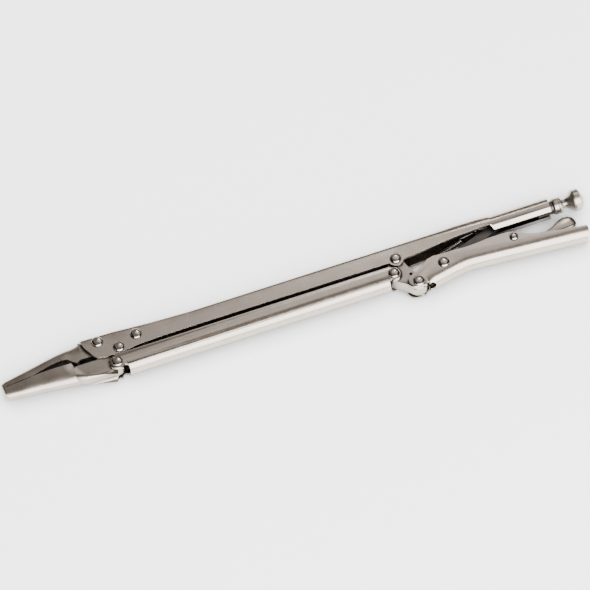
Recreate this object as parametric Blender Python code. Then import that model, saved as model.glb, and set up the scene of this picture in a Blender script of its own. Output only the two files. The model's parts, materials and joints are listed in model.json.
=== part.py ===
"""Long-reach locking pliers with needle-nose jaws, lying on their side, jaws shut and locked.

Tool axes, used for every shape below, in millimetres: X runs from the jaws to the knob, Y from the
movable handle to the fixed arm, Z across the pressed sides. Their zero is the lower jaw's pivot.
"""
import math

import bmesh
import bpy
from mathutils import Vector

MM = 0.001

# Pressed channels
WIDTH = 16.2
SHEET = 2.0
HALF = WIDTH / 2
INSIDE = HALF - SHEET
PLATE = INSIDE - 0.4            # half thickness of what turns between two side walls
UNDERSIDE = 3.6                 # rounding under the lower jaw and the rocker
ARM_CORNER = 3.0                # outside corner radius of the fixed arm's back
FULL_ROUND = HALF - 0.2         # corner radius where a back is fully round
LOBE = 6.2                      # radius of a side wall around its pivot
EAR_CORNER = 1.0                # the walls stay flat at an end whose back is cut away

# Pivots
JAW_PIVOT = (0.0, 0.0)
TANG_FRONT = (-13.4, 9.4)
TANG_REAR = (15.6, 6.0)
CRANK = (-5.5, -11.5)           # from the jaw pivot to the link, and from the rocker pivot to the link
REACH = 217.5                   # distance between the two fixed pivots
ROCKER_PIVOT = (REACH, -0.2)
LINK_FRONT = CRANK
LINK_REAR = (ROCKER_PIVOT[0] + CRANK[0], ROCKER_PIVOT[1] + CRANK[1])
HANDLE_PIVOT = (226.8, -24.6)
SCREW_Y = 5.1                   # height of the adjusting screw's axis
NOSE = (303.2, SCREW_Y)         # where the toggle link bears on the screw
TOGGLE_ARM = 24.6               # from the handle pivot to the toggle rivet
RELEASE_PIVOT = (306.0, -13.2)

# Rivets
RIVET_PIN = 2.5
RIVET_HOLE = 2.8
RIVET_HEAD = 4.25
SMALL_HEAD = 3.3
HEAD_HEIGHT = 1.7
HEAD_CROWN = 18                 # degrees from a head's middle to where its dome starts
HEAD_GAP = 0.25
ROUND = 16                      # sides of a pin and of its hole

# Fixed arm and handle
ARM_FRONT = -25.5
CREASE = 293.2                  # where the open channel meets the rolled tube
TUBE_START = 295.4
TUBE_END = 340.5
ARM_BACK = ((ARM_FRONT, 15.8), (0.0, 15.1), (28.0, 13.0), (60.0, 11.8), (100.0, 11.4), (225.0, 11.4),
            (250.0, 12.4), (268.0, 13.3), (285.0, 13.4), (TUBE_START, SCREW_Y + FULL_ROUND),
            (TUBE_END, SCREW_Y + FULL_ROUND))
ARM_EDGE = ((ARM_FRONT, -4.9), (-12.0, -4.9), (0.0, -4.9), (4.0, -4.6), (14.0, -3.2), (30.0, -2.4),
            (60.0, -2.1), (212.0, -2.1), (228.0, -2.1), (240.0, -1.2), (248.0, 0.0), (256.0, 0.9),
            (264.0, 1.7), (274.0, 2.3), (284.0, 3.0), (CREASE, 3.2), (TUBE_START, 1.4), (TUBE_END, 1.4))
ARM_ROUND = ((ARM_FRONT, ARM_CORNER), (225.0, ARM_CORNER), (262.0, 5.0), (CREASE, 6.4),
             (TUBE_START, FULL_ROUND), (TUBE_END, FULL_ROUND))
TUBE_LIP = math.radians(51)     # how far each wall curls under the screw

# Reach link
LINK_TOP = -5.4
LINK_ARC = -12.4                # centre of its round back
LINK_BACK = (2.1, LINK_REAR[0] - 5.2)   # where the back starts and ends

# Movable handle
HANDLE_EDGE = ((218.0, -21.2), (224.0, -18.0), (227.3, -16.1), (231.0, -14.4), (235.0, -11.9),
               (239.5, -8.9), (244.0, -7.9), (250.0, -8.4), (260.0, -8.5), (269.0, -9.2),
               (280.0, -8.7), (288.0, -7.8), (303.0, -7.9), (308.0, -9.4), (314.0, -13.2),
               (321.0, -15.9), (330.0, -17.6), (340.0, -19.6), (350.0, -21.4), (361.0, -22.6))
HANDLE_ARC = ((239.5, -21.3), (247.0, -19.8), (254.0, -18.3), (260.0, -17.3),
              (265.0, -16.5), (270.0, -16.3), (281.0, -17.0), (297.0, -18.4), (314.0, -19.9),
              (330.0, -21.3), (345.0, -22.5), (361.0, -23.6))
HANDLE_END = 361.0
HANDLE_BACK_START = 234.6
HANDLE_NOTCH = (236.2, 2.4, 2.9)        # centre along and across the tool, and radius
HANDLE_LOBE = 6.3               # radius of the ears in front of the handle's pivot
HANDLE_LOBE_CENTER = (HANDLE_PIVOT[0] - 2.0, HANDLE_PIVOT[1] + 1.6)

# Jaws: distance from the pivot, mouth height, outer height, half width
UPPER_NOSE = ((-26.0, 0.8, 15.3, 6.0), (-30.5, 0.6, 14.5, 6.0), (-33.0, -1.2, 14.0, 6.0),
              (-36.0, 1.4, 13.9, 5.9), (-38.5, 4.4, 13.5, 5.9), (-44.0, 5.2, 12.7, 5.8),
              (-52.0, 4.2, 11.3, 5.6), (-60.0, 2.3, 9.8, 5.4), (-68.0, 0.4, 8.3, 5.1),
              (-80.0, -0.5, 6.0, 4.7), (-88.5, -1.1, 4.4, 4.4), (-91.3, -1.3, 2.8, 4.0))
LOWER_NOSE = ((-36.0, -3.4, -15.6, 5.7), (-37.5, -0.2, -16.0, 6.6), (-44.0, 0.1, -15.0, 6.6),
              (-52.0, 0.4, -13.9, 6.3), (-60.0, 0.4, -12.9, 6.0), (-68.0, 0.0, -12.1, 5.7),
              (-80.0, -0.9, -11.1, 5.1), (-88.5, -1.5, -10.2, 4.8), (-91.3, -1.7, -8.9, 4.2))
BOSS = 6.0                      # on the jaw pivot
LINK_BOSS = 5.6                 # under the reach link's front rivet

# Rocker and toggle link
ROCKER_BOSS = 5.7
TOGGLE_LOBE = 5.2
TOGGLE_HALF = 2.4               # half thickness

# Adjusting screw: distance along the tool and radius
SCREW_TIP = NOSE[0] + 2.3
BUSH_START = 331.0
COLLAR_START = 343.8
BUSH_END = 350.6
SCREW_PROFILE = ((SCREW_TIP, 2.6), (SCREW_TIP + 1.2, 3.9), (BUSH_END + 0.6, 3.9), (BUSH_END + 0.8, 3.5),
                 (353.4, 3.3), (355.8, 3.9), (357.6, 5.4), (359.3, 7.4), (361.0, 8.2), (364.0, 8.2),
                 (366.0, 7.2), (367.4, 4.8), (367.8, 1.8))

# Coil spring
SPRING_WIRE = 0.5
SPRING_COIL = 1.7
SPRING_TURNS = 13
SPRING_FRONT = (226.2, -14.2)
SPRING_BODY = ((239.0, -8.6), (268.0, 1.2))
SPRING_LUG = (283.0, 5.4)

# Where the tool's zero goes in the model: the bottom centre of the whole object is the origin
LENGTH_MIDDLE = 138.25
HEIGHT_MIDDLE = -8.0
FLOOR_TO_MIDPLANE = HALF + HEAD_GAP + HEAD_HEIGHT
ORIGIN = Vector((-LENGTH_MIDDLE, -HEIGHT_MIDDLE, FLOOR_TO_MIDPLANE)) * MM


def clear_scene():
    """Take away whatever the scene holds."""
    for old in list(bpy.data.objects):
        bpy.data.objects.remove(old, do_unlink=True)


def metal(name, color, roughness):
    """A bright plated-steel material."""
    material = bpy.data.materials.new(name)
    material.use_nodes = True
    shader = material.node_tree.nodes["Principled BSDF"]
    shader.inputs["Base Color"].default_value = (*color, 1.0)
    shader.inputs["Metallic"].default_value = 1.0
    shader.inputs["Roughness"].default_value = roughness
    return material


def between(table, x):
    """Read a table of (x, value) pairs at x, with straight lines between its points."""
    if x <= table[0][0]:
        return table[0][1]
    for (x0, v0), (x1, v1) in zip(table, table[1:]):
        if x <= x1:
            return v0 + (v1 - v0) * (x - x0) / (x1 - x0)
    return table[-1][1]


def arc(center, radius, start, end, steps):
    """Points on a circle from one angle to another, in degrees."""
    points = []
    for step in range(steps + 1):
        angle = math.radians(start + (end - start) * step / steps)
        points.append((center[0] + radius * math.cos(angle), center[1] + radius * math.sin(angle)))
    return points


def add_object(name, mesh_data, pivot, material):
    """Put a bmesh in tool millimetres into an object whose origin is its pivot."""
    center = Vector((pivot[0], pivot[1], 0.0))
    bmesh.ops.translate(mesh_data, verts=mesh_data.verts, vec=-center)
    bmesh.ops.scale(mesh_data, verts=mesh_data.verts, vec=(MM, MM, MM))
    bmesh.ops.recalc_face_normals(mesh_data, faces=mesh_data.faces)
    mesh = bpy.data.meshes.new(name)
    mesh_data.to_mesh(mesh)
    mesh_data.free()
    mesh.shade_smooth()
    mesh.set_sharp_from_angle(angle=math.radians(32))
    obj = bpy.data.objects.new(name, mesh)
    obj.location = ORIGIN + center * MM
    bpy.context.collection.objects.link(obj)
    if material:
        obj.data.materials.append(material)
    return obj


def combine(target, other, operation):
    """Join or cut an object with a second one that is only a tool."""
    other.hide_render = True
    other.display_type = 'WIRE'
    change = target.modifiers.new(other.name, 'BOOLEAN')
    change.operation = operation
    change.object = other


def add_prism(mesh_data, outline, low, high):
    """Extrude a side-view outline across the tool, from Z low to Z high."""
    bottom = [mesh_data.verts.new((x, y, low)) for x, y in outline]
    top = [mesh_data.verts.new((x, y, high)) for x, y in outline]
    mesh_data.faces.new(bottom)
    mesh_data.faces.new(top)
    for i in range(len(outline)):
        j = (i + 1) % len(outline)
        mesh_data.faces.new((bottom[i], bottom[j], top[j], top[i]))


def loft(mesh_data, rings, caps=True):
    """Skin a row of equal closed rings, with flat ends."""
    rows = [[mesh_data.verts.new(point) for point in ring] for ring in rings]
    count = len(rows[0])
    for first, second in zip(rows, rows[1:]):
        for i in range(count):
            j = (i + 1) % count
            mesh_data.faces.new((first[i], first[j], second[j], second[i]))
    if caps:
        mesh_data.faces.new(rows[0])
        mesh_data.faces.new(rows[-1])
    return rows


def round_under(mesh_data, level, radius):
    """Round the long lower edges of a flat plate, below a level, as its forging is."""
    edges = []
    for edge in mesh_data.edges:
        first, second = edge.verts
        if abs(first.co.z - second.co.z) < 0.01 and max(first.co.y, second.co.y) < level:
            edges.append(edge)
    bmesh.ops.bevel(mesh_data, geom=edges, offset=radius, segments=4, profile=0.5, affect='EDGES')


def add_pin(mesh_data, center, radius, half_length):
    """A round pin across the tool."""
    half_side = 180 / ROUND
    outline = arc(center, radius, half_side, 360 - half_side, ROUND - 1)
    add_prism(mesh_data, outline, -half_length, half_length)


def drill(target, centers, radius=RIVET_HOLE):
    """Drill round holes across the tool through an object."""
    mesh_data = bmesh.new()
    for center in centers:
        add_pin(mesh_data, center, radius, HALF + 2)
    combine(target, add_object(target.name + "_holes", mesh_data, JAW_PIVOT, None), 'DIFFERENCE')


def cut_away(target, outlines, label):
    """Cut side-view outlines right through an object."""
    mesh_data = bmesh.new()
    for outline in outlines:
        add_prism(mesh_data, outline, -HALF - 2, HALF + 2)
    combine(target, add_object(target.name + label, mesh_data, JAW_PIVOT, None), 'DIFFERENCE')


def half_section(edge, back, corner, curl_angle, sign):
    """Outside and inside points of one half of a pressed section, from its lip to its middle.

    sign is +1 where the back lies towards +Y and -1 where it lies towards -Y.
    """
    level = back - sign * corner
    length = abs(level - edge)
    outer, inner = [], []
    wall_steps = 2
    for step in range(wall_steps):
        run = length * (1 - step / wall_steps)
        turn = curl_angle * (1 - step / wall_steps)
        if curl_angle > 0:
            z = corner * math.cos(turn) + HALF - corner
            y = level - sign * corner * math.sin(turn)
        else:
            z = HALF
            y = level - sign * run
        outer.append((y, z))
        inner.append((y + sign * SHEET * math.sin(turn), z - SHEET * math.cos(turn)))
    bend_steps = 5
    for step in range(bend_steps + 1):
        angle = math.pi / 2 * step / bend_steps
        reach = max(corner - SHEET, 0.3)
        outer.append((level + sign * corner * math.sin(angle), HALF - corner + corner * math.cos(angle)))
        inner.append((back - sign * (SHEET + reach * (1 - math.sin(angle))),
                      INSIDE - reach * (1 - math.cos(angle))))
    return outer, inner


def channel(name, stations, sign, pivot, material):
    """A pressed channel through stations of (x, edge, back, corner radius, curl angle)."""
    rings = []
    for x, edge, back, corner, curl_angle in stations:
        outer, inner = half_section(edge, back, corner, curl_angle, sign)
        right = [(x, y, z) for y, z in outer]
        left = [(x, y, -z) for y, z in reversed(outer)]
        inner_left = [(x, y, -z) for y, z in inner]
        inner_right = [(x, y, z) for y, z in reversed(inner)]
        rings.append(right + left + inner_left + inner_right)
    mesh_data = bmesh.new()
    rows = loft(mesh_data, rings, caps=False)
    count = len(rows[0])
    for row in (rows[0], rows[-1]):
        for i in range(count // 2 - 1):
            mesh_data.faces.new((row[i], row[i + 1], row[count - 2 - i], row[count - 1 - i]))
    return add_object(name, mesh_data, pivot, material)


def spread(first, last, step):
    """Evenly spaced places from first to last, no further apart than step."""
    count = max(1, math.ceil((last - first) / step))
    return [first + (last - first) * i / count for i in range(count + 1)]


def places(*groups):
    """One sorted list of places along the tool, none closer than a tenth of a millimetre."""
    kept = []
    for x in sorted(x for group in groups for x in group):
        if not kept or x - kept[-1] > 0.1:
            kept.append(x)
    return kept


def upper_channel(material):
    """Fixed arm and fixed handle in one pressing: a deep front, a lobe, and a rolled tube."""
    lobe = spread(ROCKER_PIVOT[0] - LOBE + 0.4, ROCKER_PIVOT[0] + LOBE - 0.4, 1.5)
    stations = []
    table_places = [x for x, _ in ARM_EDGE + ARM_BACK + ARM_ROUND]
    for x in places(table_places, lobe, spread(250, TUBE_START, 6)):
        edge = between(ARM_EDGE, x)
        off = x - ROCKER_PIVOT[0]
        if abs(off) < LOBE:
            edge = min(edge, ROCKER_PIVOT[1] - math.sqrt(LOBE ** 2 - off ** 2))
        curl = TUBE_LIP * min(1.0, max(0.0, (x - CREASE) / (TUBE_START - CREASE)))
        stations.append((x, edge, between(ARM_BACK, x), between(ARM_ROUND, x), curl))
    arm = channel("upper_channel", stations, 1, JAW_PIVOT, material)
    front = [(-30.0, 18.0), (-25.2, 18.0), (-25.3, 12.0), (-24.1, 7.4), (-21.6, 2.4), (-19.4, -1.8),
             (-17.2, -3.4), (-13.2, -4.6), (-12.0, -8.0), (-30.0, -8.0)]
    cut_away(arm, [front], "_front_cut")
    drill(arm, (JAW_PIVOT, TANG_FRONT, TANG_REAR, ROCKER_PIVOT))
    add_spring_lug(arm)
    return arm


def add_spring_lug(arm):
    """A tongue hanging from the arm's back, with a hole for the spring's rear hook."""
    x, y = SPRING_LUG
    width, root = 2.2, 12.4
    outline = [(x - width, root), (x - width, y)] + arc((x, y), width, 200, 340, 4)
    outline += [(x + width, y), (x + width, root)]
    mesh_data = bmesh.new()
    add_prism(mesh_data, outline, -0.9, 0.9)
    combine(arm, add_object("spring_lug", mesh_data, JAW_PIVOT, None), 'UNION')
    drill_lug = bmesh.new()
    add_prism(drill_lug, arc((x, y), 1.1, 0, 330, 11), -1.5, 1.5)
    combine(arm, add_object("spring_lug_hole", drill_lug, JAW_PIVOT, None), 'DIFFERENCE')


def end_waste(pivot, towards, notch, notch_radius, top, bottom, reach):
    """What is cut off a channel's end: it leaves a round lobe and a relief hole before the back."""
    if towards < 0:
        lobe = arc(pivot, reach, 90, 285, 14)
        relief = arc(notch, notch_radius, 190, 0, 8)
    else:
        lobe = arc(pivot, reach, 90, -105, 14)
        relief = arc(notch, notch_radius, -10, 180, 8)
    far = pivot[0] + towards * (reach + 6)
    return ([(pivot[0], top)] + lobe + relief + [(relief[-1][0], bottom), (far, bottom), (far, top)])


def reach_link(material):
    """The long lower channel, open upwards, with a full round back and two lobed ends."""
    back = LINK_ARC - HALF
    corners = ((LINK_FRONT[0] - LOBE - 0.5, EAR_CORNER), (0.0, EAR_CORNER), (LINK_BACK[0] - 0.4, FULL_ROUND),
               (70.0, FULL_ROUND), (140.0, FULL_ROUND), (LINK_BACK[1] + 0.4, FULL_ROUND),
               (LINK_BACK[1] + 1.4, EAR_CORNER), (LINK_REAR[0] + LOBE + 0.5, EAR_CORNER))
    stations = []
    for x, corner in corners:
        spare = SHEET if corner == EAR_CORNER else 0.0
        stations.append((x, LINK_TOP, back - spare, corner, 0.0))
    link = channel("reach_link", stations, -1, LINK_REAR, material)
    front_relief = (LINK_BACK[0] - 2.5, -17.8)
    rear_relief = (LINK_BACK[1] + 1.4, -17.4)
    front = end_waste(LINK_FRONT, -1, front_relief, 2.5, LINK_TOP + 1, back - 2 * SHEET, LOBE)
    rear = end_waste(LINK_REAR, 1, rear_relief, 1.4, LINK_TOP + 1, back - 2 * SHEET, LOBE)
    cut_away(link, [front, rear], "_ends")
    drill(link, (LINK_FRONT, LINK_REAR))
    return link


def movable_handle(material):
    """The lever: a channel open towards the arm, with a round back and a spoon-shaped end."""
    stations = []
    table_places = [x for x, _ in HANDLE_EDGE + HANDLE_ARC]
    flat_end = HANDLE_BACK_START - 2.1
    for x in places(table_places, [flat_end, HANDLE_BACK_START - 0.5, HANDLE_END - 1.2]):
        flat = x < flat_end + 0.1
        level = HANDLE_PIVOT[1] if flat else between(HANDLE_ARC, x)
        corner = EAR_CORNER if flat else FULL_ROUND
        edge = max(between(HANDLE_EDGE, x), level + 0.2)
        stations.append((x, edge, level - HALF, corner, 0.0))
    handle = channel("movable_handle", stations, -1, HANDLE_PIVOT, material)
    x = HANDLE_PIVOT[0]
    lobe = arc(HANDLE_LOBE_CENTER, HANDLE_LOBE, 165, 300, 12)
    relief = arc((HANDLE_BACK_START - 1.6, -28.6), 1.6, 200, 0, 6)
    front = ([(x - 12.0, -14.0), (x - 1.0, -14.0), (x - 3.2, -18.0)] + lobe
             + relief + [(HANDLE_BACK_START, -36.0), (x - 12.0, -36.0)])
    cut_away(handle, [front], "_front_cut")
    end = [(HANDLE_END + 1, -20.0), (HANDLE_END - 2.4, -20.0), (HANDLE_END - 0.6, -24.0),
           (HANDLE_END - 0.8, -28.0), (HANDLE_END - 4.2, -33.0), (HANDLE_END + 1, -33.0)]
    cut_away(handle, [end], "_end_cut")
    notch_x, notch_z, notch_radius = HANDLE_NOTCH
    notch = bmesh.new()
    rings = []
    for height in (-36.0, -24.5):
        rings.append([(px, height, pz) for px, pz in arc((notch_x, notch_z), notch_radius, 8, 338, 11)])
    loft(notch, rings)
    combine(handle, add_object("handle_notch", notch, JAW_PIVOT, None), 'DIFFERENCE')
    drill(handle, (HANDLE_PIVOT, toggle_pivot(), RELEASE_PIVOT))
    return handle


def toggle_pivot():
    """The toggle rivet sits on the line from the handle pivot to the screw: locked on centre."""
    start = Vector(HANDLE_PIVOT)
    line = (Vector(NOSE) - start).normalized()
    return tuple(start + line * TOGGLE_ARM)


def nose_rings(stations, squareness, steps):
    """Half-round rings of a jaw's nose, flat on the mouth side."""
    rings = []
    for x, mouth, outer, half_width in stations:
        ring = []
        for step in range(steps + 1):
            angle = math.pi * step / steps
            c, s = math.cos(angle), math.sin(angle)
            z = half_width * math.copysign(abs(c) ** (2 / squareness), c)
            y = mouth + (outer - mouth) * abs(s) ** (2 / squareness)
            ring.append((x, y, z))
        rings.append(ring)
    return rings


def add_nose(target, stations, squareness):
    """Forge the nose onto a jaw's flat plate."""
    mesh_data = bmesh.new()
    loft(mesh_data, nose_rings(stations, squareness, 14))
    combine(target, add_object(target.name + "_nose", mesh_data, JAW_PIVOT, None), 'UNION')


def upper_jaw(material):
    """Fixed jaw: its tang fills the arm's front and clears the lower jaw's boss."""
    clear = BOSS + 0.5
    outline = [(-27.5, 0.8), (-27.5, 14.4), (-25.8, 14.3), (-25.7, 12.9), (0.0, 12.4), (20.0, 11.0),
               (22.0, 9.4), (22.0, 2.2), (9.0, 1.6)]
    outline += arc(JAW_PIVOT, clear, 10, 170, 12) + [(-9.0, 0.9)]
    mesh_data = bmesh.new()
    add_prism(mesh_data, outline, -PLATE, PLATE)
    jaw = add_object("upper_jaw", mesh_data, JAW_PIVOT, material)
    add_nose(jaw, UPPER_NOSE, 3.2)
    drill(jaw, (TANG_FRONT, TANG_REAR))
    return jaw


def lower_jaw(material):
    """Moving jaw: nose, flat block, a boss on the jaw pivot and a boss on the reach link."""
    outline = arc(JAW_PIVOT, BOSS, -30, 185, 14)
    outline += [(-14.0, -2.4), (-20.5, -3.5), (-35.0, -3.5), (-37.5, -6.0), (-37.5, -14.6), (-30.0, -16.8)]
    outline += arc(LINK_FRONT, LINK_BOSS, 250, 350, 7)
    mesh_data = bmesh.new()
    add_prism(mesh_data, outline, -PLATE, PLATE)
    round_under(mesh_data, -13.8, UNDERSIDE)
    jaw = add_object("lower_jaw", mesh_data, JAW_PIVOT, material)
    add_nose(jaw, LOWER_NOSE, 2.6)
    drill(jaw, (JAW_PIVOT, LINK_FRONT))
    return jaw


def rocker(material):
    """Bell crank: turns on the arm, carries the reach link and the movable handle."""
    outline = arc(ROCKER_PIVOT, ROCKER_BOSS, 5, 185, 10)
    outline += arc(LINK_REAR, 5.0, 165, 250, 6)
    outline += arc((227.0, -21.6), 8.6, 195, 292, 8) + [(233.2, -26.8), (234.0, -22.5)]
    outline += [(231.0, -18.8), (227.6, -15.2), (224.4, -9.6), (223.0, -4.6)]
    mesh_data = bmesh.new()
    add_prism(mesh_data, outline, -PLATE, PLATE)
    round_under(mesh_data, -23.5, UNDERSIDE)
    crank = add_object("rocker", mesh_data, ROCKER_PIVOT, material)
    drill(crank, (ROCKER_PIVOT, LINK_REAR, HANDLE_PIVOT))
    drill_spring = bmesh.new()
    add_prism(drill_spring, arc((224.0, -15.4), 1.3, 0, 330, 11), -HALF, HALF)
    combine(crank, add_object("rocker_spring_hole", drill_spring, JAW_PIVOT, None), 'DIFFERENCE')
    slot = bmesh.new()
    add_prism(slot, [(221.6, -18.2), (240.0, -18.2), (240.0, -4.0), (221.6, -4.0)], -2.3, 2.3)
    combine(crank, add_object("rocker_spring_slot", slot, JAW_PIVOT, None), 'DIFFERENCE')
    return crank


def toggle_link(material):
    """Bar from the toggle rivet to the tip of the adjusting screw."""
    x, y = toggle_pivot()
    line = math.degrees(math.atan2(NOSE[1] - y, NOSE[0] - x))
    outline = arc((x, y), TOGGLE_LOBE, line + 80, line + 280, 12)
    outline += arc((NOSE[0] - 3.0, NOSE[1] - 0.6), 3.0, line - 95, line + 85, 8)
    mesh_data = bmesh.new()
    add_prism(mesh_data, outline, -TOGGLE_HALF, TOGGLE_HALF)
    link = add_object("toggle_link", mesh_data, (x, y), material)
    drill(link, ((x, y),))
    return link


def release_lever(material):
    """Thumb lever inside the handle: a nose under the toggle link and a broad curled pad."""
    shape = ((286.5, -8.8, -7.6, 2.4), (290.0, -10.6, -6.6, 3.0), (297.0, -13.8, -6.2, 3.4),
             (303.0, -16.6, -7.0, 3.6), (309.0, -17.4, -8.4, 3.6), (316.0, -17.6, -10.8, 3.8),
             (324.0, -18.4, -13.4, 4.2), (331.0, -19.4, -14.6, 4.8), (336.0, -19.8, -12.8, 5.0),
             (341.0, -19.9, -9.6, 5.1), (345.5, -19.9, -7.6, 5.1), (350.0, -19.6, -7.8, 5.1),
             (352.8, -18.8, -9.6, 4.9), (354.2, -17.2, -12.4, 4.4))
    squareness = 0.45
    rings = []
    for x, low, high, half_width in shape:
        middle, tall = (low + high) / 2, (high - low) / 2
        ring = []
        for step in range(16):
            angle = 2 * math.pi * (step + 0.5) / 16
            c, s = math.cos(angle), math.sin(angle)
            ring.append((x, middle + tall * math.copysign(abs(s) ** squareness, s),
                         half_width * math.copysign(abs(c) ** squareness, c)))
        rings.append(ring)
    mesh_data = bmesh.new()
    loft(mesh_data, rings)
    lever = add_object("release_lever", mesh_data, RELEASE_PIVOT, material)
    drill(lever, (RELEASE_PIVOT,))
    return lever


def turned(name, profile, center_y, sides, pivot, material, bore=None):
    """A piece turned about an axis along X, from a row of (x, radius) points."""
    rings = []
    for x, radius in profile:
        rings.append([(x, center_y + radius * math.cos(2 * math.pi * i / sides),
                       radius * math.sin(2 * math.pi * i / sides)) for i in range(sides)])
    mesh_data = bmesh.new()
    loft(mesh_data, rings + ([rings[0]] if bore else []), caps=not bore)
    if bore:
        bmesh.ops.remove_doubles(mesh_data, verts=mesh_data.verts, dist=0.001)
    return add_object(name, mesh_data, pivot, material)


def screw_bush(material):
    """Threaded bush held in the end of the tube, with a collar outside it."""
    bore = 4.3
    inside = INSIDE - 0.3
    neck = 5.3
    collar = 6.2
    chamfer = 0.6
    profile = ((BUSH_START, bore), (BUSH_START, inside), (TUBE_END + 0.2, inside), (TUBE_END + 0.7, neck),
               (COLLAR_START, neck), (COLLAR_START + chamfer, collar), (BUSH_END - chamfer, collar),
               (BUSH_END, collar - chamfer), (BUSH_END, bore))
    return turned("screw_bush", profile, SCREW_Y, 24, (BUSH_END, SCREW_Y), material, bore=True)


def tube(name, route, radius, sides, pivot, material):
    """A round wire along a route of points."""
    rings = []
    normal = Vector((0.0, 0.0, 1.0))
    for i, point in enumerate(route):
        ahead = route[min(i + 1, len(route) - 1)] - route[max(i - 1, 0)]
        ahead.normalize()
        normal = (normal - ahead * normal.dot(ahead)).normalized()
        side = ahead.cross(normal)
        rings.append([point + radius * (normal * math.cos(2 * math.pi * k / sides)
                                        + side * math.sin(2 * math.pi * k / sides)) for k in range(sides)])
    mesh_data = bmesh.new()
    loft(mesh_data, rings)
    return add_object(name, mesh_data, pivot, material)


def tension_spring(material):
    """Close-wound coil with a straight hook to the rocker and one to the arm's lug."""
    start, end = (Vector((x, y, 0.0)) for x, y in SPRING_BODY)
    axis = (end - start).normalized()
    across = Vector((-axis.y, axis.x, 0.0))
    steps = SPRING_TURNS * 8
    route = [Vector((*SPRING_FRONT, 0.0))]
    for step in range(steps + 1):
        angle = 2 * math.pi * step / 8
        offset = SPRING_COIL * (across * math.cos(angle) + Vector((0, 0, 1)) * math.sin(angle))
        route.append(start + (end - start) * step / steps + offset)
    x, y = SPRING_LUG
    route.append(Vector((x - 3.4, y - 0.8, 0.0)))
    return tube("tension_spring", route, SPRING_WIRE, 5, SPRING_FRONT, material)


def rivet(name, center, head, material):
    """A rivet across the tool, with a flat-topped domed head on each side."""
    sit = HALF + HEAD_GAP
    profile = []
    full = math.cos(math.radians(HEAD_CROWN))
    for degrees in spread(HEAD_CROWN, 90, 18):
        angle = math.radians(degrees)
        profile.append((sit + HEAD_HEIGHT * math.cos(angle) / full, head * math.sin(angle)))
    profile.append((sit, RIVET_PIN))
    whole = profile + [(-z, radius) for z, radius in reversed(profile)]
    rings = []
    for z, radius in whole:
        rings.append([(center[0] + radius * math.cos(2 * math.pi * (i + 0.5) / ROUND),
                       center[1] + radius * math.sin(2 * math.pi * (i + 0.5) / ROUND), z)
                      for i in range(ROUND)])
    mesh_data = bmesh.new()
    loft(mesh_data, rings)
    return add_object(name, mesh_data, center, material)


def build():
    """Make every piece of the tool."""
    clear_scene()
    plate = metal("nickel_plate", (0.62, 0.59, 0.56), 0.22)
    forged = metal("forged_nickel", (0.55, 0.53, 0.50), 0.30)
    bright = metal("bright_nickel", (0.78, 0.76, 0.73), 0.12)
    wire = metal("spring_steel", (0.40, 0.39, 0.38), 0.30)
    upper_channel(plate)
    reach_link(plate)
    movable_handle(plate)
    upper_jaw(forged)
    lower_jaw(forged)
    rocker(forged)
    toggle_link(forged)
    release_lever(plate)
    turned("adjusting_screw", SCREW_PROFILE, SCREW_Y, 24, NOSE, bright)
    screw_bush(bright)
    tension_spring(wire)
    rivets = (("jaw_rivet_front", TANG_FRONT, RIVET_HEAD), ("jaw_rivet_rear", TANG_REAR, RIVET_HEAD),
              ("jaw_pivot_rivet", JAW_PIVOT, RIVET_HEAD), ("link_rivet_front", LINK_FRONT, RIVET_HEAD),
              ("link_rivet_rear", LINK_REAR, RIVET_HEAD), ("rocker_pivot_rivet", ROCKER_PIVOT, RIVET_HEAD),
              ("handle_pivot_rivet", HANDLE_PIVOT, RIVET_HEAD), ("toggle_rivet", toggle_pivot(), RIVET_HEAD),
              ("release_rivet", RELEASE_PIVOT, SMALL_HEAD))
    for name, center, head in rivets:
        rivet(name, center, head, bright)


build()
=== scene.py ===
"""Long-reach locking pliers: the looks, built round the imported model.

Every place comes from the frame: the tool's zero is the lower jaw's pivot, and sizes below are in
millimetres from it. X runs from the jaws to the knob, Y from the movable handle to the fixed arm,
and Z across the pressed sides.
"""
import json
import math

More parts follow.
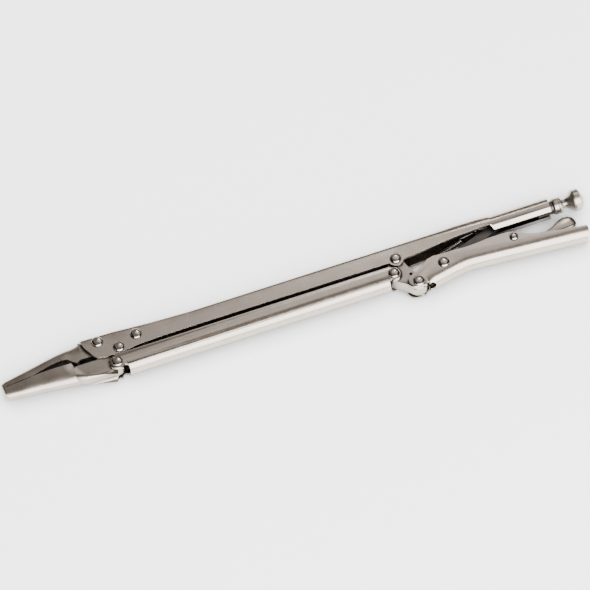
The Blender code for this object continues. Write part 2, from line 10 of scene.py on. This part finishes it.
import bmesh
import bpy
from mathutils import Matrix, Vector


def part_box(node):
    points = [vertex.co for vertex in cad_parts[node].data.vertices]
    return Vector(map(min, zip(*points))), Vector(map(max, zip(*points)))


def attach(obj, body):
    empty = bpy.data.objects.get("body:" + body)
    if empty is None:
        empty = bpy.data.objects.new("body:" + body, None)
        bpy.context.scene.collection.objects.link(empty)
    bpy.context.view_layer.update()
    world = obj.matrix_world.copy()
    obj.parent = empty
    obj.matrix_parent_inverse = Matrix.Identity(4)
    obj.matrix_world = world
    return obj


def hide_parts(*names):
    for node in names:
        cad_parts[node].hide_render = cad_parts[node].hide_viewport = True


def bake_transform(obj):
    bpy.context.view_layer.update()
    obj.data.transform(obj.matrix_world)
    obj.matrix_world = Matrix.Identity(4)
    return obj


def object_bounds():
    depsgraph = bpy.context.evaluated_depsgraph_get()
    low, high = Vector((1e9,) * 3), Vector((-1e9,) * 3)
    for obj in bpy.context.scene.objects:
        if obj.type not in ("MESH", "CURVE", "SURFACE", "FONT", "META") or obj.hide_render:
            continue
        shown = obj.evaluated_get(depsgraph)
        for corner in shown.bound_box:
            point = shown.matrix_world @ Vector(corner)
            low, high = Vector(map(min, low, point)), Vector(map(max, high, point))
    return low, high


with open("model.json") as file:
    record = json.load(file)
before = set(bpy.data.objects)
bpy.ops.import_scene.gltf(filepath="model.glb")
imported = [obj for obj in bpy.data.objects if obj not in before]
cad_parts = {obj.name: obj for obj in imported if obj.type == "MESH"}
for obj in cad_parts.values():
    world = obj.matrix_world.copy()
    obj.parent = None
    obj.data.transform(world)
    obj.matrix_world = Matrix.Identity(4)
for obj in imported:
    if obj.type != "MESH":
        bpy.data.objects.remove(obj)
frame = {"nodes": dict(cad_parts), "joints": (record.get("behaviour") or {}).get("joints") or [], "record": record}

CAD_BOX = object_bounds()
MM = 0.001
PIVOTS = {joint["name"]: Vector(joint["pos_m"]) for joint in frame["joints"] if "pos_m" in joint}
ZERO = PIVOTS["jaw_pivot"]

# Camera: a long lens, looking down on the tool's side
AZIMUTH = -20.6
ELEVATION = 58.5
LENS = 1200.0                   # the view is almost without perspective
SENSOR = 36.0
VIEW_WIDTH = 0.4348             # metres across the picture at the tool
VIEW_CENTER = (138.8, 0.8, 0.0)
VIEW_REACH = 100.0              # metres that the camera sees

# Edges
SHEET_EDGE = 0.35               # rounding of a pressed sheet's cut edge
FORGED_EDGE = 0.6
EAR_EDGE = 1.5                  # the larger rounding round a side wall's pivot lobe

# Side walls' lobes
LINK_LOBE = 6.2
HANDLE_LOBE = 6.3
HANDLE_LOBE_OFF = (-2.0, 1.6)   # from the handle's pivot to the centre of its ears
ON_WALL = 0.05                  # an edge this near the wall's outer face lies on it
ON_LOBE = 0.15                  # an edge this near a lobe's radius lies on its outline

# Jaw teeth
TOOTH_PITCH = 1.3
TOOTH_DEPTH = 0.45
TOOTH_HALF = 0.46 * TOOTH_PITCH
TEETH_START = -88.5
TEETH_END = -68.0
TEETH_SIDE = 8.0                # half the cutter's width, wider than the jaws

# Rivet heads
HEAD_HEIGHT = 1.7
HEAD_RIM = 0.35                 # height of the straight edge below the dome
HEAD_ROUND = 1.01               # a round head against the model's many-sided one
PIN = 2.5
DOME_STEPS = 8
HEAD_SIDES = 40

# Adjusting screw and its bush
THREAD_PITCH = 1.25
THREAD_DEPTH = 0.55
THREAD_STEPS = 6                # rings along each turn of the thread
SHANK = 3.9                     # radius over the thread
SHANK_TIP = 1.6                 # length of the screw's rounded tip
NECK = 3.3
NECK_LENGTH = 3.5               # from the thread's end to the slimmest place
KNOB_LENGTH = 15.0              # from the neck to the knob's end
COLLAR = 6.8                    # length of the bush's collar
BUSH_BORE = 4.25
BUSH_SLEEVE = 4.9
TURNED_SIDES = 48
PROFILE_STEPS = 4               # rings between two points of a smooth profile

# Rolled tube round the screw
TUBE_LENGTH_BEFORE_BUSH = 35.4
TUBE_SKIN = 7.0                 # nearer the screw than this is the tube's inside or its lips
FAR_LIP = 4.5                   # further below the screw than this is the far lip, in the handle's shade

# Coil spring
WIRE = 0.5
WIRE_SIDES = 8
COIL = 1.7
TURNS = 22
TURN_STEPS = 14
ROCKER_HOOK = 1.1               # radii of the two hooks
LUG_HOOK = 1.2
SPRING_ROCKER_END = (224.0, -15.4)
SPRING_COIL_ENDS = ((238.0, -9.0), (270.0, 1.6))
SPRING_LUG_END = (283.0, 5.4)

# Surfaces
CLOUDS = 90.0                   # how many cloudy patches and fine specks there are in a metre
SPECKS = 1400.0
PAINTED_SHADE_REACH = 0.014            # metres over which an occluded hollow gets painted shade in its colour
# painted shade: the colour that occluded hollows are darkened towards
PAINTED_SHADE_COLOR = (0.035, 0.031, 0.028)
CREASE_SHADE_SHARE = 0.45             # painted shade: a sharp inner corner's colour against the darker plate
EDGE_SHARE = 1.12               # a worn edge's colour against the lighter plate

# Stage
WHITE = (1.0, 1.0, 1.0)
BLACK = (0.0, 0.0, 0.0)
FLOOR_HALF = 6.0                # metres
FLOOR_GAP = 0.0002              # metres below the rivet heads
FLOOR_COLOR = (0.93, 0.93, 0.93)
FLOOR_SHADOW_REACH = 0.016             # how far round the tool the floor's glow is dimmed: painted shadow
FLOOR_GLOW = 2.4                # keeps the floor pale under and behind the tool
BACKDROP = (0.9, 0.9, 0.9)
DARK_SIDE = (0.012, 0.012, 0.012)
PALE_ROOM = (0.25, 0.23, 0.21)
DIM_SIDE = (0.03, 0.028, 0.026)


# ---------------------------------------------------------------- places and meshes

def tool(x, y, z=0.0):
    """A point given in the tool's millimetres, in the frame's metres."""
    return ZERO + Vector((x, y, z)) * MM


def toward(azimuth, elevation):
    """The direction from the tool to a place round it, from degrees; azimuth 0 is the handle's side."""
    a, e = math.radians(azimuth), math.radians(elevation)
    return Vector((math.sin(a) * math.cos(e), -math.cos(a) * math.cos(e), math.sin(e)))


def middle(node):
    """The middle of a CAD node's box."""
    low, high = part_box(node)
    return (Vector(low) + Vector(high)) / 2


def turned_extent(node):
    """A turned node's two ends along X, its axis' Y and its radius, in the tool's millimetres."""
    low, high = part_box(node)
    start, end = (low[0] - ZERO.x) / MM, (high[0] - ZERO.x) / MM
    return start, end, (middle(node).y - ZERO.y) / MM, (high[1] - low[1]) / 2 / MM


def make_object(name, mesh_data):
    """Turn a bmesh into an object in the scene."""
    mesh = bpy.data.meshes.new(name)
    mesh_data.to_mesh(mesh)
    mesh_data.free()
    thing = bpy.data.objects.new(name, mesh)
    bpy.context.collection.objects.link(thing)
    return thing


def new_piece(name, mesh_data, material, body, replaced, sharp):
    """Make an object from a bmesh in the frame's metres, and give it its body and material.

    A piece with no body here is left unattached. Edges over sharp degrees stay crisp.
    """
    bmesh.ops.recalc_face_normals(mesh_data, faces=mesh_data.faces)
    piece = make_object(name, mesh_data)
    piece.data.shade_smooth()
    piece.data.set_sharp_from_angle(angle=math.radians(sharp))
    piece.data.materials.append(material)
    if body:
        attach(piece, body)
    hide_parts(*replaced)
    return piece


def skin(mesh_data, rings, closed_ends=True):
    """Join a row of equal closed rings, and return their vertices."""
    rows = [[mesh_data.verts.new(point) for point in ring] for ring in rings]
    count = len(rows[0])
    for first, second in zip(rows, rows[1:]):
        for i in range(count):
            j = (i + 1) % count
            mesh_data.faces.new((first[i], first[j], second[j], second[i]))
    if closed_ends:
        mesh_data.faces.new(rows[0])
        mesh_data.faces.new(rows[-1])
    return rows


def round_edges(piece, width):
    """Round every sharp edge a little, as a tumbled and plated edge is."""
    bevel = piece.modifiers.new("rounded_edges", 'BEVEL')
    bevel.width = width * MM
    bevel.segments = 2
    bevel.limit_method = 'ANGLE'
    bevel.angle_limit = math.radians(32)
    bevel.use_clamp_overlap = True
    bevel.harden_normals = True


def cad_shape(node):
    """A clean copy of a CAD node's mesh: flat faces whole, doubled points joined."""
    mesh_data = bmesh.new()
    mesh_data.from_mesh(frame["nodes"][node].data)
    bmesh.ops.remove_doubles(mesh_data, verts=mesh_data.verts, dist=0.002 * MM)
    bmesh.ops.dissolve_limit(mesh_data, angle_limit=math.radians(0.5), verts=mesh_data.verts,
                             edges=mesh_data.edges)
    return mesh_data


def round_ear(mesh_data, pivot, reach):
    """Round the outer edge of a side wall's lobe more than its other edges."""
    half = (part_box("upper_channel")[1][2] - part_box("upper_channel")[0][2]) / 2
    edges = []
    for edge in mesh_data.edges:
        ends = [vert.co for vert in edge.verts]
        on_wall = all(abs(abs(end.z - ZERO.z) - half) < ON_WALL * MM for end in ends)
        on_lobe = all(abs((end.xy - pivot.xy).length - reach * MM) < ON_LOBE * MM for end in ends)
        if on_wall and on_lobe:
            edges.append(edge)
    if edges:
        bmesh.ops.bevel(mesh_data, geom=edges, offset=EAR_EDGE * MM, segments=4, profile=0.5, affect='EDGES')


def dressed(node, body, material, edge, ears=()):
    """A CAD node's shape with rounded edges and a plated surface.

    ears is a list of (pivot, lobe radius) where the walls' edges are rounded more.
    """
    mesh_data = cad_shape(node)
    for pivot, reach in ears:
        round_ear(mesh_data, pivot, reach)
    piece = new_piece(node + "_plated", mesh_data, material, body, (node,), sharp=32)
    round_edges(piece, edge)
    return piece


# ---------------------------------------------------------------- materials

def add_node(tree, kind, **settings):
    """Add a shader node and set its plain properties."""
    node = tree.nodes.new(kind)
    for key, value in settings.items():
        setattr(node, key, value)
    return node


def noise(tree, vector, scale, detail):
    """A noise texture's value output."""
    node = add_node(tree, "ShaderNodeTexNoise")
    node.inputs["Scale"].default_value = scale
    node.inputs["Detail"].default_value = detail
    node.inputs["Roughness"].default_value = 0.55
    tree.links.new(vector, node.inputs["Vector"])
    return node.outputs["Fac"]


def ramp(tree, value, stops):
    """A colour ramp over a value: stops are (place, (r, g, b))."""
    node = add_node(tree, "ShaderNodeValToRGB")
    elements = node.color_ramp.elements
    while len(elements) < len(stops):
        elements.new(0.5)
    for element, (place, color) in zip(elements, stops):
        element.position = place
        element.color = (*color, 1.0)
    tree.links.new(value, node.inputs["Fac"])
    return node.outputs["Color"]


def span(tree, value, low, high, to_low, to_high):
    """Map a value from one span to another, clamped."""
    node = add_node(tree, "ShaderNodeMapRange")
    for name, number in zip(("From Min", "From Max", "To Min", "To Max"), (low, high, to_low, to_high)):
        node.inputs[name].default_value = number
    tree.links.new(value, node.inputs["Value"])
    return node.outputs["Result"]


def blend_colors(tree, factor, first, second):
    """Mix two colours by a factor; a colour is an output or a tuple."""
    node = add_node(tree, "ShaderNodeMix", data_type='RGBA')
    tree.links.new(factor, node.inputs[0])
    for socket, color in ((node.inputs[6], first), (node.inputs[7], second)):
        if isinstance(color, tuple):
            socket.default_value = (*color, 1.0)
        else:
            tree.links.new(color, socket)
    return node.outputs[2]


def add_values(tree, first, second, weight):
    """first plus weight times second."""
    node = add_node(tree, "ShaderNodeMath", operation='MULTIPLY_ADD')
    tree.links.new(second, node.inputs[0])
    node.inputs[1].default_value = weight
    tree.links.new(first, node.inputs[2])
    return node.outputs[0]


def stretched(tree, coordinates, scale):
    """Object coordinates stretched by a scale on each axis."""
    node = add_node(tree, "ShaderNodeMapping")
    node.inputs["Scale"].default_value = scale
    tree.links.new(coordinates, node.inputs["Vector"])
    return node.outputs["Vector"]


def openness(tree, reach, samples):
    """How open a place is to its surroundings within a reach in metres, 0 to 1."""
    node = add_node(tree, "ShaderNodeAmbientOcclusion", samples=samples)
    node.inputs["Distance"].default_value = reach
    return node.outputs["AO"]


def plated(name, tint, shade, polish, grain, grain_depth):
    """Plated steel: cloudy tint, fine lines left by finishing, bright worn edges, and painted shade in hollows and
    sharp inner corners.

    tint and shade are the lighter and darker colours, polish the roughness span, grain the
    stretch of the finishing lines per metre on each axis, and grain_depth their depth in mm.
    """
    material = bpy.data.materials.new(name)
    material.use_nodes = True
    tree = material.node_tree
    shader = tree.nodes["Principled BSDF"]
    shader.inputs["Metallic"].default_value = 1.0
    coordinates = add_node(tree, "ShaderNodeTexCoord").outputs["Object"]
    clouds = noise(tree, coordinates, CLOUDS, 5.0)
    specks = noise(tree, coordinates, SPECKS, 2.0)
    lines = noise(tree, stretched(tree, coordinates, grain), 1.0, 2.0)
    point = add_node(tree, "ShaderNodeNewGeometry").outputs["Pointiness"]

    body_color = ramp(tree, clouds, ((0.3, shade), (0.7, tint)))
    # painted shade: sharp inner corners, found by pointiness, are darkened
    crease_shade = ramp(tree, point, ((0.42, BLACK), (0.49, WHITE)))
    color = blend_colors(tree, crease_shade, tuple(CREASE_SHADE_SHARE * channel for channel in shade), body_color)
    worn = span(tree, point, 0.53, 0.60, 0.0, 0.35)
    color = blend_colors(tree, worn, color, tuple(EDGE_SHARE * channel for channel in tint))
    # painted shade: hollows, found by ambient occlusion, are darkened towards the shade colour
    depth = span(tree, openness(tree, PAINTED_SHADE_REACH, 12), 0.25, 0.85, 0.0, 1.0)
    color = blend_colors(tree, depth, PAINTED_SHADE_COLOR, color)
    tree.links.new(color, shader.inputs["Base Color"])

    mottled = add_values(tree, clouds, lines, 0.6)
    mottled = add_values(tree, mottled, specks, 0.25)
    tree.links.new(span(tree, mottled, 0.55, 1.25, *polish), shader.inputs["Roughness"])

    bump = add_node(tree, "ShaderNodeBump")
    bump.inputs["Strength"].default_value = 0.6
    bump.inputs["Distance"].default_value = grain_depth * MM
    tree.links.new(add_values(tree, lines, specks, 0.35), bump.inputs["Height"])
    tree.links.new(bump.outputs["Normal"], shader.inputs["Normal"])
    return material


def make_materials():
    """Every metal on the tool."""
    along = (60.0, 3200.0, 3200.0)
    across = (2600.0, 2600.0, 90.0)
    turned = (3000.0, 500.0, 500.0)
    looks = {
        "plate": ("nickel_plate", (0.52, 0.452, 0.39), (0.46, 0.397, 0.342), (0.20, 0.30), along, 0.012),
        "forged": ("forged_nickel", (0.46, 0.402, 0.35), (0.38, 0.333, 0.29), (0.24, 0.36), across, 0.02),
        "bright": ("bright_nickel", (0.66, 0.60, 0.54), (0.56, 0.50, 0.45), (0.10, 0.20), turned, 0.006),
        "satin": ("satin_nickel", (0.50, 0.437, 0.378), (0.40, 0.35, 0.30), (0.26, 0.38), turned, 0.006),
        # painted shade: a dark steel for faces and parts that lie in shade
        "dark": ("painted_shade_steel", (0.16, 0.15, 0.14), (0.09, 0.085, 0.08), (0.35, 0.5), along, 0.012),
        "wire": ("spring_wire", (0.60, 0.56, 0.51), (0.42, 0.39, 0.36), (0.2, 0.35), along, 0.006),
    }
    return {metal: plated(*look) for metal, look in looks.items()}


# ---------------------------------------------------------------- pieces

def rivet(node, body, material):
    """A rivet: a pin with two low domes, each with a small rim where the head was formed."""
    low, high = (Vector(corner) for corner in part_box(node))
    center = (low + high) / 2
    head = (high.x - low.x) / 2 / MM * HEAD_ROUND
    reach = (high.z - low.z) / 2 / MM
    sit = reach - HEAD_HEIGHT
    dome = HEAD_HEIGHT - HEAD_RIM
    profile = []
    for step in range(1, DOME_STEPS + 1):
        angle = math.pi / 2 * step / DOME_STEPS
        profile.append((sit + HEAD_RIM + dome * math.cos(angle), head * math.sin(angle)))
    profile += [(sit + 0.12, head), (sit, head - 0.15), (sit, PIN)]
    turns = [2 * math.pi * i / HEAD_SIDES for i in range(HEAD_SIDES)]
    rings = [[center + Vector((radius * math.cos(turn), radius * math.sin(turn), height)) * MM
              for turn in turns]
             for height, radius in profile + [(-h, r) for h, r in reversed(profile)]]
    mesh_data = bmesh.new()
    rows = skin(mesh_data, rings, closed_ends=False)
    for ring, height in ((rows[0], reach), (rows[-1], -reach)):
        top = mesh_data.verts.new(center + Vector((0.0, 0.0, height)) * MM)
        for i in range(HEAD_SIDES):
            mesh_data.faces.new((ring[i], ring[(i + 1) % HEAD_SIDES], top))
    new_piece(node + "_domed", mesh_data, material, body, (node,), sharp=60)


def turned_rings(profile, axis, wobble=None):
    """Rings round an axis along X, from (x, radius) points in the tool's millimetres."""
    rings = []
    for x, radius in profile:
        ring = []
        for i in range(TURNED_SIDES):
            angle = 2 * math.pi * i / TURNED_SIDES
            r = radius + (wobble(x, angle) if wobble else 0.0)
            ring.append(tool(x, axis + r * math.cos(angle), r * math.sin(angle)))
        rings.append(ring)
    return rings


def smooth_profile(points):
    """A smooth curve through a turned profile's points (Catmull-Rom)."""
    curve = []
    for i in range(len(points) - 1):
        p0, p1 = points[max(i - 1, 0)], points[i]
        p2, p3 = points[i + 1], points[min(i + 2, len(points) - 1)]
        for step in range(PROFILE_STEPS):
            t = step / PROFILE_STEPS
            curve.append(tuple(0.5 * (2 * b + (c - a) * t + (2 * a - 5 * b + 4 * c - d) * t * t
                                      + (3 * b - a - 3 * c + d) * t ** 3)
                               for a, b, c, d in zip(p0, p1, p2, p3)))
    curve.append(points[-1])
    return curve


def adjusting_screw(material):
    """The screw: a threaded shank, a slim neck and a flared, domed knob."""
    start, end, axis, radius = turned_extent("adjusting_screw")
    neck = end - KNOB_LENGTH
    thread_end = neck - NECK_LENGTH

    def thread(x, angle):
        phase = (x / THREAD_PITCH - angle / (2 * math.pi)) % 1.0
        depth = THREAD_DEPTH * abs(2 * phase - 1)
        return -depth if start + 2 < x < thread_end else 0.0

    shank = [(start, 2.0), (start + 0.5, 3.0), (start + 1.4, SHANK)]
    step = THREAD_PITCH / THREAD_STEPS
    count = int((thread_end - start - SHANK_TIP) / step)
    shank += [(start + SHANK_TIP + step * i, SHANK) for i in range(count)]
    knob = [(neck - 3.4, SHANK), (neck - 2.6, NECK + 0.35), (neck, NECK), (neck + 2.2, 4.2),
            (neck + 4.0, 5.7), (neck + 6.0, radius * 0.91), (neck + 7.4, radius * 0.99), (neck + 8.4, radius),
            (neck + 11.0, radius * 0.995), (neck + 11.8, radius * 0.955), (neck + 13.3, radius * 0.72),
            (neck + 14.4, radius * 0.38), (end, 0.5)]
    mesh_data = bmesh.new()
    skin(mesh_data, turned_rings(shank + smooth_profile(knob), axis, thread))
    new_piece("screw_and_knob", mesh_data, material, "adjusting_screw",
              ("adjusting_screw",), sharp=50)


def screw_bush(material, shaded):
    """The bush's collar, with a turned groove and chamfers, and its dark sleeve inside the tube."""
    start, end, axis, radius = turned_extent("screw_bush")
    face = end - COLLAR
    sleeve = [(start, BUSH_BORE), (start, BUSH_SLEEVE), (face - 0.5, BUSH_SLEEVE)]
    collar = [(face, radius - 0.7), (face + 0.3, radius - 0.2), (face + 0.8, radius)]
    groove = [(end - 3.4, radius), (end - 3.1, radius - 0.35), (end - 2.6, radius - 0.35),
              (end - 2.3, radius)]
    mouth = [(end - 1.0, radius), (end - 0.3, radius - 0.5), (end, radius - 1.0), (end, BUSH_BORE + 0.3),
             (end - 0.4, BUSH_BORE), (start, BUSH_BORE)]
    mesh_data = bmesh.new()
    skin(mesh_data, turned_rings(sleeve + collar + groove + mouth, axis), closed_ends=False)
    bmesh.ops.remove_doubles(mesh_data, verts=mesh_data.verts, dist=0.001 * MM)
    bush = new_piece("turned_bush", mesh_data, material, "root", ("screw_bush",), sharp=40)
    bush.data.materials.append(shaded)
    # painted shade: the sleeve inside the tube takes the dark steel
    for polygon in bush.data.polygons:
        if (polygon.center.x - ZERO.x) / MM < face - 0.2:
            polygon.material_index = 1


def hook(eye, radius, first, sweep, along, side):
    """Points of a round hook about its eye, from a first angle through a sweep in degrees."""
    angles = [math.radians(first + sweep * step / TURN_STEPS) for step in range(TURN_STEPS + 1)]
    return [eye + radius * (side * math.sin(angle) - along * math.cos(angle)) for angle in angles]


def spring_route():
    """Points of the spring's wire: a hook in the rocker, the coil, and a hook in the arm's lug."""
    start, end, rocker_eye, lug_eye = (Vector((x, y, 0.0))
                                       for x, y in (*SPRING_COIL_ENDS, SPRING_ROCKER_END, SPRING_LUG_END))
    along = (end - start).normalized()
    across = Vector((-along.y, along.x, 0.0))
    side = Vector((0.0, 0.0, 1.0))
    coil = []
    for step in range(TURNS * TURN_STEPS + 1):
        angle = 2 * math.pi * step / TURN_STEPS
        place = start + (end - start) * step / (TURNS * TURN_STEPS)
        coil.append(place + COIL * (across * math.cos(angle) + side * math.sin(angle)))
    return (hook(rocker_eye, ROCKER_HOOK, -200, 380, along, side) + coil
            + hook(lug_eye, LUG_HOOK, -20, 320, along, side))


def tension_spring(material):
    """A close-wound wire coil that stretches from the fixed arm to the rocker."""
    route = [tool(point.x, point.y, point.z) for point in spring_route()]
    turns = [2 * math.pi * k / WIRE_SIDES for k in range(WIRE_SIDES)]
    normal = Vector((0.0, 1.0, 0.0))
    rings = []
    for i, point in enumerate(route):
        ahead = (route[min(i + 1, len(route) - 1)] - route[max(i - 1, 0)]).normalized()
        normal = (normal - ahead * normal.dot(ahead)).normalized()
        cross = ahead.cross(normal)
        rings.append([point + WIRE * MM * (normal * math.cos(turn) + cross * math.sin(turn))
                      for turn in turns])
    mesh_data = bmesh.new()
    skin(mesh_data, rings)
    piece = new_piece("coil_spring", mesh_data, material, None, ("tension_spring",), sharp=60)
    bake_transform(piece)


def cut_teeth(piece, mouth_front, mouth_back, into_jaw):
    """Cut a row of grooves across a jaw's mouth, between two points of its mouth line.

    into_jaw is +1 where the jaw's metal is above the line and -1 where it is below.
    """
    (x0, y0), (x1, y1) = mouth_front, mouth_back
    slope = (y1 - y0) / (x1 - x0)
    mesh_data = bmesh.new()
    for i in range(int((x1 - x0) / TOOTH_PITCH)):
        x = x0 + (i + 0.5) * TOOTH_PITCH
        y = y0 + slope * (x - x0)
        clear, mouth, root = y - into_jaw * 0.9, y - into_jaw * 0.02, y + into_jaw * TOOTH_DEPTH
        groove = [(x - TOOTH_HALF, clear), (x + TOOTH_HALF, clear), (x + TOOTH_HALF, mouth),
                  (x + TOOTH_HALF * 0.7, root), (x - TOOTH_HALF, mouth)]
        skin(mesh_data, [[tool(px, py, z) for px, py in groove] for z in (-TEETH_SIDE, TEETH_SIDE)])
    bmesh.ops.recalc_face_normals(mesh_data, faces=mesh_data.faces)
    cutter = make_object("teeth", mesh_data)
    change = piece.modifiers.new("teeth", 'BOOLEAN')
    change.operation = 'DIFFERENCE'
    change.object = cutter
    bpy.context.view_layer.update()
    shaped = bpy.data.meshes.new_from_object(piece.evaluated_get(bpy.context.evaluated_depsgraph_get()))
    piece.modifiers.clear()
    piece.data = shaped
    bpy.data.objects.remove(cutter)


def darken_tube(arm, material):
    """The tube's inside and its cut lips get the dark steel: painted shade where little light reaches."""
    arm.data.materials.append(material)
    screw_axis = middle("adjusting_screw")
    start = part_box("screw_bush")[0][0] - TUBE_LENGTH_BEFORE_BUSH * MM
    for face in arm.data.polygons:
        center = face.center
        off_axis = math.hypot(center.y - screw_axis.y, center.z - screw_axis.z)
        far_lip = center.z < screw_axis.z and center.y < screw_axis.y - FAR_LIP * MM
        if center.x > start and (off_axis < TUBE_SKIN * MM or far_lip):
            face.material_index = 1


# ---------------------------------------------------------------- stage, light and camera

def stage_floor():
    """A plain pale floor the tool lies on."""
    mesh_data = bmesh.new()
    bmesh.ops.create_grid(mesh_data, x_segments=2, y_segments=2, size=FLOOR_HALF)
    floor = make_object("floor", mesh_data)
    floor.location.z = CAD_BOX[0][2] - FLOOR_GAP
    material = bpy.data.materials.new("pale_floor")
    material.use_nodes = True
    tree = material.node_tree
    shader = tree.nodes["Principled BSDF"]
    shader.inputs["Base Color"].default_value = (*FLOOR_COLOR, 1.0)
    shader.inputs["Roughness"].default_value = 0.9
    shader.inputs["Emission Color"].default_value = (*WHITE, 1.0)
    # painted shadow: the floor glows less where the tool hems it in
    glow_with_painted_shadow = span(tree, openness(tree, FLOOR_SHADOW_REACH, 16), 0.35, 0.95, 0.02, FLOOR_GLOW)
    tree.links.new(glow_with_painted_shadow, shader.inputs["Emission Strength"])
    floor.data.materials.append(material)


def add_light(name, azimuth, elevation, distance, size, power):
    """A soft panel that faces the tool, placed by where it stands round it."""
    light = bpy.data.lights.new(name, 'AREA')
    light.shape = 'RECTANGLE'
    light.size, light.size_y = size
    light.energy = power
    lamp = bpy.data.objects.new(name, light)
    lamp.location = toward(azimuth, elevation) * distance
    lamp.rotation_mode = 'QUATERNION'
    lamp.rotation_quaternion = lamp.location.to_track_quat('Z', 'Y')
    bpy.context.collection.objects.link(lamp)


def studio():
    """Soft studio light: a pale room that darkens to each side, and the lights.

    A broad panel stands in front of the tool, and a dim panel and a small lamp behind it.
    """
    world = bpy.data.worlds.new("room")
    bpy.context.scene.world = world
    world.use_nodes = True
    tree = world.node_tree
    background = tree.nodes["Background"]
    direction = add_node(tree, "ShaderNodeTexCoord").outputs["Generated"]
    parts = add_node(tree, "ShaderNodeSeparateXYZ")
    tree.links.new(direction, parts.inputs[0])
    sideways = span(tree, parts.outputs["X"], -1.0, 1.0, 0.0, 1.0)
    room = ramp(tree, sideways, ((0.10, DARK_SIDE), (0.30, DARK_SIDE), (0.42, PALE_ROOM), (0.68, PALE_ROOM),
                                 (0.82, DIM_SIDE), (0.94, DIM_SIDE)))
    seen = add_node(tree, "ShaderNodeLightPath").outputs["Is Camera Ray"]
    tree.links.new(blend_colors(tree, seen, room, BACKDROP), background.inputs["Color"])
    background.inputs["Strength"].default_value = 1.0
    add_light("front_panel", 5, 37.5, 2.2, (3.0, 2.45), 184)
    add_light("back_panel", 140, 56, 1.1, (0.7, 0.6), 0.9)
    add_light("small_lamp", 150, 48, 2.2, (0.16, 0.16), 2.3)


def camera():
    """The camera at the tool's three-quarter view from above."""
    back = toward(AZIMUTH, ELEVATION)
    data = bpy.data.cameras.new("camera")
    data.lens = LENS
    data.sensor_width = SENSOR
    data.clip_end = VIEW_REACH
    view = bpy.data.objects.new("camera", data)
    view.location = tool(*VIEW_CENTER) + back * VIEW_WIDTH * LENS / SENSOR
    view.rotation_mode = 'QUATERNION'
    view.rotation_quaternion = (-back).to_track_quat('-Z', 'Y')
    bpy.context.collection.objects.link(view)
    bpy.context.scene.camera = view


# ---------------------------------------------------------------- build

def build():
    """Dress every node of the tool and set the stage."""
    metals = make_materials()
    plate, forged = metals["plate"], metals["forged"]
    arm = dressed("upper_channel", "root", plate, SHEET_EDGE)
    darken_tube(arm, metals["dark"])
    dressed("reach_link", "reach_link", plate, SHEET_EDGE,
            ((middle("link_rivet_front"), LINK_LOBE), (PIVOTS["reach_link_pivot"], LINK_LOBE)))
    dressed("movable_handle", "handle", plate, SHEET_EDGE,
            ((PIVOTS["handle_pivot"] + Vector((*HANDLE_LOBE_OFF, 0.0)) * MM, HANDLE_LOBE),))
    dressed("rocker", "rocker", forged, SHEET_EDGE)
    # painted shade: the toggle link, deep between the walls, takes the dark steel
    dressed("toggle_link", "toggle_link", metals["dark"], SHEET_EDGE)
    dressed("release_lever", "release_lever", plate, SHEET_EDGE)
    upper = dressed("upper_jaw", "root", forged, FORGED_EDGE)
    lower = dressed("lower_jaw", "lower_jaw", forged, FORGED_EDGE)
    cut_teeth(upper, (TEETH_START, -1.1), (TEETH_END, 0.4), into_jaw=1)
    cut_teeth(lower, (TEETH_START, -1.5), (TEETH_END, 0.0), into_jaw=-1)
    body_of = {node: body for body, nodes in frame["record"]["behaviour"]["bodies"].items()
               for node in nodes}
    for node in sorted(frame["nodes"]):
        if "rivet" in node:
            rivet(node, body_of[node], metals["bright"])
    adjusting_screw(metals["satin"])
    screw_bush(metals["satin"], metals["dark"])
    tension_spring(metals["wire"])
    stage_floor()
    studio()
    camera()


build()
